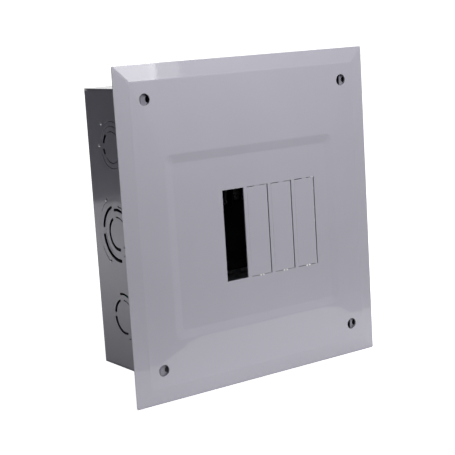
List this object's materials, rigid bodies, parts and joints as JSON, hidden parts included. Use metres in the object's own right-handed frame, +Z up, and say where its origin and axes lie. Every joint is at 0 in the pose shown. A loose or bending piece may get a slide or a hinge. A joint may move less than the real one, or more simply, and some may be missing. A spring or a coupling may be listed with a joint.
{
  "type": "residential load center",
  "caption": "Flush-mounted steel breaker box with a bevelled grey cover, breaker slots, twist-out fillers, bus bars, lugs and neutral and ground bars.",
  "frame": {"origin": "centre of the enclosure's flat back face, which stands against the wall cavity's back", "axes": "+X to the right as seen from the room, +Y back into the wall, so the cover faces -Y, and +Z up"},
  "size_m": [0.2548, 0.0928, 0.2762],
  "materials": {
    "enclosure_enamel": "grey baked enamel, gloss",
    "cover_enamel": "grey baked enamel, gloss",
    "galvanised_steel": "galvanised, dull spangle",
    "black_moulding": "matte",
    "tin_plated_bus": "tin plated, satin",
    "lug_aluminium": "extruded, satin",
    "zinc_screw": "zinc plated",
    "white_moulding": "satin",
    "green_screw": "green dyed zinc",
    "copper_strap": "bare copper, satin"
  },
  "bodies": {
    "enclosure": {"bonding_screw": "green_screw", "bonding_strap": "copper_strap", "bottom_end_wall": "enclosure_enamel", "breaker_hook_rail": "black_moulding", "bus_bar_a": "tin_plated_bus", "bus_bar_b": "tin_plated_bus", "bus_insulator": "black_moulding", "bus_screw_1": "zinc_screw", "bus_screw_2": "zinc_screw", "bus_screw_3": "zinc_screw", "bus_screw_4": "zinc_screw", "enclosure_wrap": "enclosure_enamel", "ground_bar": "lug_aluminium", "ground_bar_screw_1": "zinc_screw", "ground_bar_screw_2": "zinc_screw", "interior_pan": "galvanised_steel", "main_lug_a": "lug_aluminium", "main_lug_b": "lug_aluminium", "neutral_bar": "lug_aluminium", "neutral_bar_screw_1": "zinc_screw", "neutral_bar_screw_2": "zinc_screw", "neutral_lug": "lug_aluminium", "neutral_support_1": "white_moulding", "neutral_support_2": "white_moulding", "pan_screw_1": "zinc_screw", "pan_screw_2": "zinc_screw", "pan_screw_3": "zinc_screw", "pan_screw_4": "zinc_screw", "rail_screw_1": "zinc_screw", "rail_screw_2": "zinc_screw", "top_end_wall": "enclosure_enamel"},
    "twistout_plate_1": {"twistout_plate_1": "cover_enamel"},
    "twistout_plate_2": {"twistout_plate_2": "cover_enamel"},
    "twistout_plate_3": {"twistout_plate_3": "cover_enamel"},
    "main_lug_a_screw": {"main_lug_a_screw": "zinc_screw"},
    "main_lug_b_screw": {"main_lug_b_screw": "zinc_screw"},
    "neutral_lug_screw": {"neutral_lug_screw": "zinc_screw"},
    "neutral_screw_1": {"neutral_screw_1": "zinc_screw"},
    "neutral_screw_2": {"neutral_screw_2": "zinc_screw"},
    "neutral_screw_3": {"neutral_screw_3": "zinc_screw"},
    "neutral_screw_4": {"neutral_screw_4": "zinc_screw"},
    "neutral_screw_5": {"neutral_screw_5": "zinc_screw"},
    "neutral_screw_6": {"neutral_screw_6": "zinc_screw"},
    "ground_screw_1": {"ground_screw_1": "zinc_screw"},
    "ground_screw_2": {"ground_screw_2": "zinc_screw"},
    "ground_screw_3": {"ground_screw_3": "zinc_screw"},
    "ground_screw_4": {"ground_screw_4": "zinc_screw"},
    "cover": {"cover_plate": "cover_enamel"}
  },
  "joints": [
    {"name": "cover_lift_off", "type": "slide", "parent": "enclosure", "child": "cover", "axis": [0, -1, 0], "range_m": [0, 0.12]},
    {"name": "twistout_1_twist", "type": "hinge", "parent": "cover", "child": "twistout_plate_1", "pos_m": [-0.0009, -0.09115, -0.00945], "axis": [0, 0, 1], "range_deg": [-40, 40]},
    {"name": "twistout_2_twist", "type": "hinge", "parent": "cover", "child": "twistout_plate_2", "pos_m": [0.0245, -0.09115, -0.00945], "axis": [0, 0, 1], "range_deg": [-40, 40]},
    {"name": "twistout_3_twist", "type": "hinge", "parent": "cover", "child": "twistout_plate_3", "pos_m": [0.0499, -0.09115, -0.00945], "axis": [0, 0, 1], "range_deg": [-40, 40]},
    {"name": "main_lug_a_screw_travel", "type": "slide", "parent": "enclosure", "child": "main_lug_a_screw", "axis": [0, 1, 0], "range_m": [0, 0.008]},
    {"name": "main_lug_b_screw_travel", "type": "slide", "parent": "enclosure", "child": "main_lug_b_screw", "axis": [0, 1, 0], "range_m": [0, 0.008]},
    {"name": "neutral_lug_screw_travel", "type": "slide", "parent": "enclosure", "child": "neutral_lug_screw", "axis": [0, 1, 0], "range_m": [0, 0.008]},
    {"name": "neutral_screw_1_travel", "type": "slide", "parent": "enclosure", "child": "neutral_screw_1", "axis": [0, 1, 0], "range_m": [0, 0.0038]},
    {"name": "neutral_screw_2_travel", "type": "slide", "parent": "enclosure", "child": "neutral_screw_2", "axis": [0, 1, 0], "range_m": [0, 0.0038]},
    {"name": "neutral_screw_3_travel", "type": "slide", "parent": "enclosure", "child": "neutral_screw_3", "axis": [0, 1, 0], "range_m": [0, 0.0038]},
    {"name": "neutral_screw_4_travel", "type": "slide", "parent": "enclosure", "child": "neutral_screw_4", "axis": [0, 1, 0], "range_m": [0, 0.0038]},
    {"name": "neutral_screw_5_travel", "type": "slide", "parent": "enclosure", "child": "neutral_screw_5", "axis": [0, 1, 0], "range_m": [0, 0.0038]},
    {"name": "neutral_screw_6_travel", "type": "slide", "parent": "enclosure", "child": "neutral_screw_6", "axis": [0, 1, 0], "range_m": [0, 0.0038]},
    {"name": "ground_screw_1_travel", "type": "slide", "parent": "enclosure", "child": "ground_screw_1", "axis": [0, 1, 0], "range_m": [0, 0.0038]},
    {"name": "ground_screw_2_travel", "type": "slide", "parent": "enclosure", "child": "ground_screw_2", "axis": [0, 1, 0], "range_m": [0, 0.0038]},
    {"name": "ground_screw_3_travel", "type": "slide", "parent": "enclosure", "child": "ground_screw_3", "axis": [0, 1, 0], "range_m": [0, 0.0038]},
    {"name": "ground_screw_4_travel", "type": "slide", "parent": "enclosure", "child": "ground_screw_4", "axis": [0, 1, 0], "range_m": [0, 0.0038]}
  ]
}
